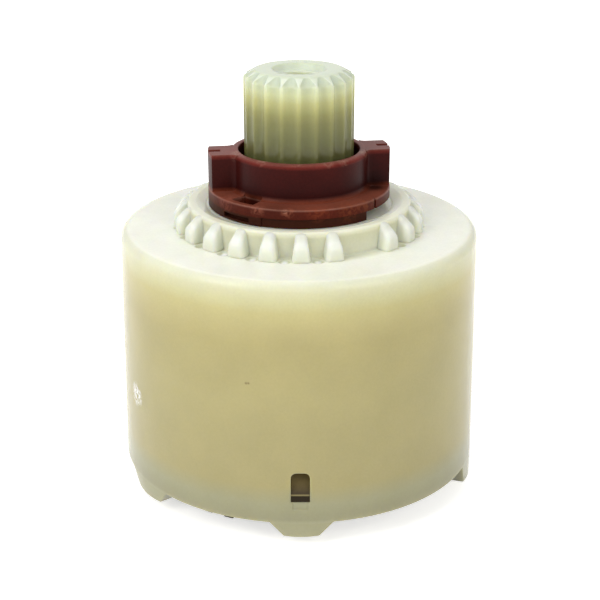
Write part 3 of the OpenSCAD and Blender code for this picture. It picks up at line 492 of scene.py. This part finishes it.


# Natural acetal has a waxy semi-gloss from the polished mould. Light goes in and scatters, and its colours
# by height paint that light: the rim nearly white and the thick wall yellower. The depth tints paint shade
# on the feet of boss and teeth, in the gaps between the teeth, on the boss top and on the recess floor.
# It carries one white scuff at the left and a brown speck, and a painted white glint in four of the front
# dimples.
natural_acetal = moulded(
    "natural acetal",
    [(0, "#b0af94"), (3.3, "#adab8c"), (3.42, "#b0ae90"), (3.62, "#acaa8c"), (3.85, "#a5a386"),
     (4.6, "#a6a486"), (6, "#acaa8a"), (8.5, "#b5ac7e"), (20, "#bcb382"), (27.5, "#bfb581"),
     (29.5, "#c7bd88"), (31.7, "#d1c992"), (33, "#dad7a9"), (34.3, "#e0dfbd"), (35.3, "#dfe1cb"),
     (35.5, "#e3e5d1"), (35.58, "#f8faee"), (36.5, "#f1f2e4"), (38.2, "#e4e6d3"), (38.4, "#f1f3e4"),
     (40, "#f3f5e8")],
    roughness=0.17, specular=0.27, grain_mm=0.35, grain=0.12, mottle=0.035, edge_mm=0.28,
    milky=0.75, milky_mm=2.2,
    wear_and_painted_light=[((-21.5, -10.9, 15.2), 1.9, "#ffffff", 1.0, 1),
          ((-6.5, -23.1, 22.37), 0.24, "#7c6c48", 0.7, 0),
          ((-6.2, -23.18, 22.4), 0.22, "#7c6c48", 0.7, 0)]
    # The four white spots in the dimples are painted glints.
    + [(at_edge(15.8, 35.28, TOOTH_AZ + az), 0.55, "#ffffff", 1.0, 0) for az in (-37.5, -22.5, -7.5, 7.5)],
    depth=[(7, (0.9, 0.9, 0.85)), (10, (1, 1, 1)), (12.3, (1, 1, 0.97)), (12.7, (0.89, 0.89, 0.84)),
           (14.6, (0.9, 0.9, 0.86)), (14.9, (0.84, 0.835, 0.76)), (15.6, (0.82, 0.815, 0.74)),
           (16.2, (0.88, 0.875, 0.82)), (16.9, (1, 1, 1)), (24, (1, 1, 1))])

# The same acetal in the thin teeth, painted paler and cooler for the light that comes through them, with
# painted shade on their sides near the boss, and softer at the edges.
lit_teeth_acetal = moulded(
    "natural acetal, painted lit teeth", [(35, "#e2e4d3"), (36.5, "#e6e9dd"), (37.8, "#e9ece6"), (38.7, "#eaedea")],
    roughness=0.17, specular=0.28, grain_mm=0.35, grain=0.1, mottle=0.02, edge_mm=0.5,
    milky=0.75, milky_mm=1.8,
    depth=[(14.8, (0.83, 0.83, 0.78)), (15.6, (0.86, 0.86, 0.82)), (16.15, (1, 1, 1)), (17, (1, 1, 1))])
housing.data.materials.clear()
housing.data.materials.append(natural_acetal)
tooth.data.materials.append(lit_teeth_acetal)
cut(housing, join(copies_at(tooth, [TOOTH_AZ + PITCH * i for i in teeth])), "UNION")
bpy.ops.object.shade_smooth_by_angle(angle=math.radians(35))
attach(housing, "housing")
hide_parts("housing")

# Base. Dark brown filled nylon, clipped into the housing by two snap arms, with a key foot that just shows
# under the front of the wall. Its moulded shape is the CAD's, but in the windows the snap noses stand out
# nearly to the face of the wall, and the foot has two toes.
def dress(node, material):
    """Give a CAD node's own shape another material."""
    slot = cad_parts[node].material_slots[0]
    slot.link = "OBJECT"
    slot.material = material


# Filled nylon is dull and dark. Its colours by height paint a highlight as a pale line along the snap
# noses' edges, and paint the slopes above them lighter as lit from above.
dark_nylon = moulded(
    "dark brown nylon",
    [(0, "#241d0f"), (7.26, "#271f11"), (7.34, "#857b56"), (7.44, "#857b56"), (7.52, "#41382a"),
     (8.6, "#685b3a"), (16, "#6b5d3a")],
    roughness=0.5, ior=1.53, specular=0.12, grain_mm=0.3, grain=0.3, mottle=0.08, edge_mm=0.12)
dress("base", dark_nylon)
nose = block("snap_nose", (2.37, 2.06, 0.98), (0, -23.06, WALL_FOOT + 3.5))
pick(nose, "FACE", lambda middle, normal: normal.z > 0.9)
bpy.ops.mesh.extrude_region_move(TRANSFORM_OT_translate={"value": (0, 0, 2.7 * MM)})
pick(nose, "EDGE", lambda a, b: min(a.z, b.z) > WALL_FOOT + 6 and max(a.y, b.y) < -23)
bpy.ops.transform.translate(value=(0, 1.85 * MM, 0))
bpy.ops.object.mode_set(mode="OBJECT")
soften(nose, 0.06, segments=2)
noses = join(copies_at(nose, WINDOWS_AZ))
noses.name = "snap_noses"


def sector(name, r_in, r_out, z_low, z_high, start, end):
    """A slice of a ring between two azimuths, made by spinning its section."""
    bpy.ops.object.select_all(action="DESELECT")
    bpy.ops.mesh.primitive_plane_add(size=1)
    piece = bpy.context.object
    piece.name = name
    a = math.radians(start)
    section = [(r_in, z_low), (r_out, z_low), (r_in, z_high), (r_out, z_high)]
    for vertex, (r, z) in zip(piece.data.vertices, section):
        vertex.co = (r * math.sin(a) * MM, -r * math.cos(a) * MM, z * MM)
    bpy.ops.object.mode_set(mode="EDIT")
    bpy.ops.mesh.select_all(action="SELECT")
    bpy.ops.mesh.spin(steps=max(3, round((end - start) / 3)), angle=math.radians(end - start),
                      center=(0, 0, 0), axis=(0, 0, -1))
    bpy.ops.mesh.select_all(action="SELECT")
    bpy.ops.mesh.fill_holes(sides=0)
    return tidy(piece)


TOE_R, TOE_Z, TOES_AZ = (19.9, 21.84), (1.72, 3.6), ((-36.4, -31.2), (-26.6, -23.0))
feet = join([sector("key_feet", *TOE_R, *TOE_Z, *ends) for ends in TOES_AZ])
soften(feet, 0.1, segments=2)
for piece in (noses, feet):
    piece.data.materials.append(dark_nylon)
    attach(piece, "housing")

# Stem. A pale green translucent moulding, its neck grooved for two O-rings, its top splined for the
# handle and drilled for the handle's screw. Its colour is painted light and shade: nearly white where
# light enters at the top and a darker green down towards the limit ring.
FLUTES, FLUTE_R, CREST_R, FLUTE_DEPTH = 20, 1.4, 7.2, 0.4
RUN_IN, RUN_NARROWING = 2.45, 0.26
GROOVE_R, SHOULDER_R, SCREW_R, STEM_TOP = 5.9, 10.0, 2.1, 56.4


def flutes(room, foot, top, lead=0):
    """Cutters for the grooves between the splines; with a lead they run out inwards at the top."""
    bpy.ops.object.select_all(action="DESELECT")
    bpy.ops.mesh.primitive_cylinder_add(
        vertices=48, radius=(FLUTE_R - room) * MM, depth=(top - foot) * MM,
        location=(0, -(CREST_R - FLUTE_DEPTH + FLUTE_R) * MM, (top + foot) / 2 * MM))
    bpy.ops.object.transform_apply(location=True, rotation=True, scale=True)
    cutter = bpy.context.object
    if lead:
        pick(cutter, "FACE", lambda middle, normal: normal.z > 0.9)
        bpy.ops.mesh.extrude_region_move(TRANSFORM_OT_translate={"value": (0, RUN_IN * MM, lead * MM)})
        bpy.ops.transform.resize(value=(RUN_NARROWING, RUN_NARROWING, 1))
        bpy.ops.object.mode_set(mode="OBJECT")
    return copies_at(cutter, [(i + 0.5) * 360 / FLUTES for i in range(FLUTES)])


stem = turned("stem_moulding",
              [(SHOULDER_R, 29.3), (SHOULDER_R, 31.1), (CREST_R, 31.1), (CREST_R, 32.48),
               (GROOVE_R, 32.48), (GROOVE_R, 34.12), (CREST_R, 34.12), (CREST_R, 35.48),
               (GROOVE_R, 35.48), (GROOVE_R, 37.12), (CREST_R, 37.12), (CREST_R, 46.0),
               (CREST_R, 55.35), (7.14, 55.55), (5.95, 56.25), (5.6, 56.37), (5.2, STEM_TOP),
               (3.65, STEM_TOP), (3.5, 56.34), (3.1, 55.8), (2.9, 55.65), (2.25, 55.6),
               (SCREW_R, 55.45), (SCREW_R, 43.3)], ring=False)
for side in (-1, 1):
    cut(stem, block("drive_lug", (4.5, 3, 2.0), (side * 6.75, 0, 28.6)), "UNION")

# Pale green acetal lights up at the top, where light comes in from all sides, and darkens towards the
# ring; the colours by height paint this light and shade. Two painted white glints lie in the screw hole's
# dish, and its front lip and inside carry painted shade. The grooves have the same colours up to the
# sloped top edge, with painted shade in their corners and on their run-outs at the top.
DARK_GREENS = [(28, "#666840"), (44, "#666840"), (46.4, "#696a41"), (48.5, "#7c7d4f"), (50.6, "#92925d"),
               (51.7, "#a7a56b"), (52.7, "#c0bf84"), (53.3, "#cbcb90")]
green_acetal = moulded(
    "pale green acetal",
    DARK_GREENS + [(54.3, "#dde2b6"), (55.2, "#e2e9cb"), (55.6, "#dce5d3"), (56.15, "#dbe4d3"),
                   (56.3, "#d2dcc4"), (57, "#d0dac2")],
    roughness=0.18, specular=0.33, grain_mm=0.3, grain=0.12, mottle=0.03, edge_mm=0.45,
    milky=0.6, milky_mm=1.6,
    # The two white spots in the dish are painted glints, and the five greyer spots on its front lip painted
    # shade.
    wear_and_painted_light=[((1.3, 2.2, 56.2), 0.5, "#ffffff", 0.8, 0), ((0.9, 1.2, 56.0), 0.4, "#ffffff", 0.8, 0)]
    + [((x, y, 56.35), 0.75, "#b4c0a4", 0.85, 0) for x, y in
       ((-2.3, -3.0), (-1.4, -3.45), (-0.5, -3.65), (0.5, -3.65), (1.4, -3.45))],
    depth=[(2.0, (0.88, 0.88, 0.86)), (3.55, (0.93, 0.93, 0.91)), (3.75, (1, 1, 1)), (8, (1, 1, 1))])
groove_shade_acetal = moulded(
    "pale green acetal, painted shade in the grooves",
    DARK_GREENS + [(54.3, "#dce1b4"), (55.2, "#d8e0c2"), (55.8, "#ccd6c1"), (57, "#c8d2bd")],
    roughness=0.2, specular=0.33, grain_mm=0.3, grain=0.12, mottle=0.03, edge_mm=0.3,
    milky=0.6, milky_mm=1.6,
    depth=[(5.5, (0.98, 0.98, 0.98)), (6.4, (0.96, 0.96, 0.96)), (6.8, (0.9, 0.9, 0.88)),
           (6.95, (0.95, 0.95, 0.94)), (7.14, (1, 1, 1))])
stem.data.materials.clear()
stem.data.materials.append(green_acetal)
for flute in flutes(0, 38.2, 55.3, lead=1.3):
    flute.data.materials.append(groove_shade_acetal)
    cut(stem, flute)
bpy.ops.object.shade_smooth_by_angle(angle=math.radians(20))
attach(stem, "stem")
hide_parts("stem")

# Limit ring. Red-brown nylon with a satin face and soft, slightly worn edges: a hub with two forked
# ears, a flange with an index pocket and nick, and a stop skirt below. It is pushed on the splines by hand.
HUB_FOOT, HUB_TOP, HUB_EDGE = 41.0, 45.9, 45.84
HUB_R, FLANGE_R, SKIRT_FOOT = 9.05, 12.04, 38.5
# Cutters for the skirt reach past the flange, and from below it up to the flange's underside.
PAST, SKIRT_CUT = 13, (38, 39.7)
EARS_AZ, NICK_AZ = (-82, 98), 54.2
SPLINE_BORE_R = 7.28


def outlined(name, points, z_low, z_high):
    """A plate with that outline in mm, drawn in plan and extruded upwards."""
    bpy.ops.object.select_all(action="DESELECT")
    bpy.ops.mesh.primitive_circle_add(vertices=len(points), radius=MM, fill_type="NGON")
    piece = bpy.context.object
    piece.name = name
    for vertex, (x, y) in zip(piece.data.vertices, points):
        vertex.co = (x * MM, y * MM, z_low * MM)
    bpy.ops.object.mode_set(mode="EDIT")
    bpy.ops.mesh.select_all(action="SELECT")
    bpy.ops.mesh.extrude_region_move(TRANSFORM_OT_translate={"value": (0, 0, (z_high - z_low) * MM)})
    return tidy(piece)


ring = turned("limit_ring_moulding",
              [(6.6, SKIRT_FOOT), (11.94, SKIRT_FOOT), (FLANGE_R, 38.6), (FLANGE_R, 40.85), (11.98, 40.96),
               (11.87, HUB_FOOT), (9.75, HUB_FOOT)]
              + corner(9.65, HUB_FOOT + 0.6, 0.6, 270, 180, 4)
              + [(HUB_R, 45.45), (8.98, 45.68), (8.82, HUB_EDGE), (8.6, HUB_TOP), (8.15, HUB_TOP),
                 (8.03, HUB_EDGE), (8.0, 45.7), (8.0, 42.9), (6.6, 42.9)])
bpy.ops.object.select_all(action="DESELECT")
bpy.ops.mesh.primitive_cylinder_add(vertices=SEGMENTS, radius=SPLINE_BORE_R * MM, depth=6.4 * MM,
                                    location=(0, 0, 40.2 * MM))
bpy.ops.object.transform_apply(location=True, rotation=True, scale=True)
bore = bpy.context.object
for flute in flutes(0.08, 36, 45):
    cut(bore, flute)
cut(ring, bore)
cut(ring, sector("stop_gap", HUB_R, PAST, *SKIRT_CUT, 47, 170))
cut(ring, sector("undercut", 11.34, PAST, 38.8, 39.42, -53, -32))
cut(ring, sector("band", 11.84, PAST, *SKIRT_CUT, -23.6, 50))
cut(ring, sector("index_pocket", 9.06, 11.3, 40.0, 42, -50, -31))
nick = block("nick", (0.4, 0.8, 3), (0, -FLANGE_R, 40.2))
turn_to(nick, NICK_AZ)
cut(ring, nick)
# An ear in plan: a fillet at the hub, a round outer face, and the fork's slot in its middle.
half_ear = (corner(3.3, -9.355, 0.9, 109.4, 180, 5)
            + [(2.4, -11.72), (1.4, -11.91), (0.45, -11.98), (0.45, -10.4)])
ear = outlined("ear", [(0, -8.3)] + half_ear + [(-x, y) for x, y in reversed(half_ear)],
               HUB_FOOT - 0.3, HUB_TOP - 0.02)
soften(ear, 0.18, 30)
for fork in copies_at(ear, EARS_AZ):
    cut(ring, fork, "UNION")
bpy.ops.object.shade_smooth_by_angle(angle=math.radians(32))

# Red-brown nylon is satin, with rubbed patches along the flange's edge and light flecks on the hub's top
# edge. Its colour is cloudier than acetal's. The colours by height are painted light and shade: the
# flange's top is painted lighter and redder than the hub as lit from above, with a painted highlight line
# on the flange's and the hub's top edges, and the tube and skirt are darker. The pocket and the place
# beside the foot of the right ear carry painted shade, nearly black.
red_nylon = moulded(
    "red-brown nylon",
    [(38, "#3a1b12"), (39.6, "#37170d"), (39.75, "#4a190e"), (40.7, "#4e1a0e"), (40.92, "#805448"),
     (41.02, "#68301f"), (41.6, "#2f0a08"), (45.2, "#3d100d"), (45.6, "#66241e"), (45.84, "#763e36"),
     (46, "#7f4d46")],
    roughness=0.38, ior=1.5, specular=0.08, grain_mm=0.3, grain=0.35, mottle=0.2, edge_mm=0.12,
    wear_and_painted_light=[(at_edge(12.1, 40.9, az), size, code, share, 0.9) for az, size, code, share in
          ((-8.5, 0.45, "#c49a84", 0.8), (-7, 1.1, "#9c5c46", 0.6), (-26, 1.3, "#9a5b48", 0.5),
           (-52, 1.8, "#8a4a3a", 0.5), (12, 1.9, "#8a4128", 0.4), (33, 2.4, "#8a4629", 0.35),
           (46, 1.8, "#93502f", 0.3))]
    + [(at_edge(8.3, 45.9, az), size, "#a07a6a", 0.6, 1) for az, size in
       ((-33, 1.0), (-2, 0.8), (25, 1.0), (40, 1.1), (-70, 1.5), (75, 1.4))]
    + [(at_edge(10.4, 41.0, -50), 1.7, "#8a5548", 0.35, 0.9),
       # The two nearly black spots are painted shade in the pocket and beside the foot of the right ear.
       (at_edge(9.9, 40.3, -40), 1.7, "#160403", 0.9, 0),
       (at_edge(10.2, 41.5, 79), 2.0, "#160403", 0.85, 0)])
ring.data.materials.clear()
ring.data.materials.append(red_nylon)
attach(ring, "limit_ring")
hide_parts("limit_ring")

# Inside. Manifold and plugs in off-white acetal, ceramic discs, rubber seals, a turned stainless sleeve
# with a brass spool, the disc carrier and the thrust washer. They are the CAD's exact shapes and show
# only where the housing is opened.

# Plain acetal without dye: off-white, satin, with a faint mould grain.
white_acetal = moulded("off-white acetal", [(0, "#cfccc0"), (30, "#d9d7cc")],
                       roughness=0.4, grain_mm=0.35, grain=0.25, mottle=0.03, edge_mm=0.15)
for node in ("manifold", "sleeve_plug_left", "sleeve_plug_right"):
    dress(node, white_acetal)
# Alumina lapped flat, so that the discs seal: nearly white, dense and glossy, with crisp edges.
alumina = moulded("lapped alumina", [(0, "#e9e5da"), (30, "#efece2")],
                  roughness=0.18, ior=1.76, grain_mm=0.2, grain=0.05, mottle=0.01, edge_mm=0.06)
for node in ("fixed_disc", "moving_disc"):
    dress(node, alumina)
# Moulded nitrile rubber: dull black with a slightly uneven skin.
nitrile = moulded("black nitrile rubber", [(0, "#181818"), (60, "#1d1d1c")],
                  roughness=0.6, ior=1.52, grain_mm=0.25, grain=0.4, mottle=0.1, edge_mm=0.08)
for node in ("manifold_oring", "disc_gasket", "sleeve_orings", "plug_oring_left", "plug_oring_right",
             "port_seal_hot", "port_seal_cold", "port_seal_outlet", "stem_oring_lower", "stem_oring_upper"):
    dress(node, nitrile)
# Dyed acetal, satin, for the carrier that takes the stem's turn to the moving disc.
blue_acetal = moulded("grey-blue acetal", [(0, "#5b6f86"), (40, "#62758b")],
                      roughness=0.42, grain_mm=0.35, grain=0.25, mottle=0.04, edge_mm=0.12)
dress("disc_carrier", blue_acetal)
# A slippery white plastic, moulded smooth, for the washer that the stem turns on.
slip_plastic = moulded("white slip washer plastic", [(0, "#e4e2da"), (40, "#e9e7df")],
                       roughness=0.35, ior=1.4, grain_mm=0.3, grain=0.1, mottle=0.02, edge_mm=0.05)
dress("thrust_washer", slip_plastic)


def turned_metal(name, code, roughness, line_mm):
    """A metal with the fine rings that a lathe tool leaves along the spool's axis."""
    material, tree = new_material(name)
    place = add_node(tree, "ShaderNodeTexCoord")
    lines = add_node(tree, "ShaderNodeTexWave",
                     {"Vector": place.outputs["Object"], "Scale": 1 / (line_mm * MM * 2 * math.pi),
                      "Distortion": 1.5, "Detail": 2}, bands_direction="X")
    ridges = add_node(tree, "ShaderNodeBump", {"Height": lines.outputs[0], "Strength": 0.25,
                                               "Distance": 0.01 * MM})
    stain = add_node(tree, "ShaderNodeTexNoise", {"Vector": place.outputs["Object"], "Scale": 1 / (3 * MM)})
    gloss = add_node(tree, "ShaderNodeMapRange",
                     {"Value": stain.outputs[0], "From Min": NOISE_LOW, "From Max": NOISE_HIGH,
                      "To Min": roughness - 0.05, "To Max": roughness + 0.08})
    face = add_node(tree, "ShaderNodeBsdfPrincipled",
                    {"Base Color": linear(code), "Metallic": 1.0, "Roughness": gloss.outputs[0],
                     "Normal": ridges.outputs[0]})
    add_node(tree, "ShaderNodeOutputMaterial", {"Surface": face.outputs[0]})
    return material


# Stainless steel is cool and bright, brass warm and a little smoother; both keep the lathe's fine rings.
dress("spool_sleeve", turned_metal("turned stainless steel", "#c3c5c8", 0.28, 0.12))
dress("balance_spool", turned_metal("turned brass", "#c9ae6a", 0.25, 0.12))
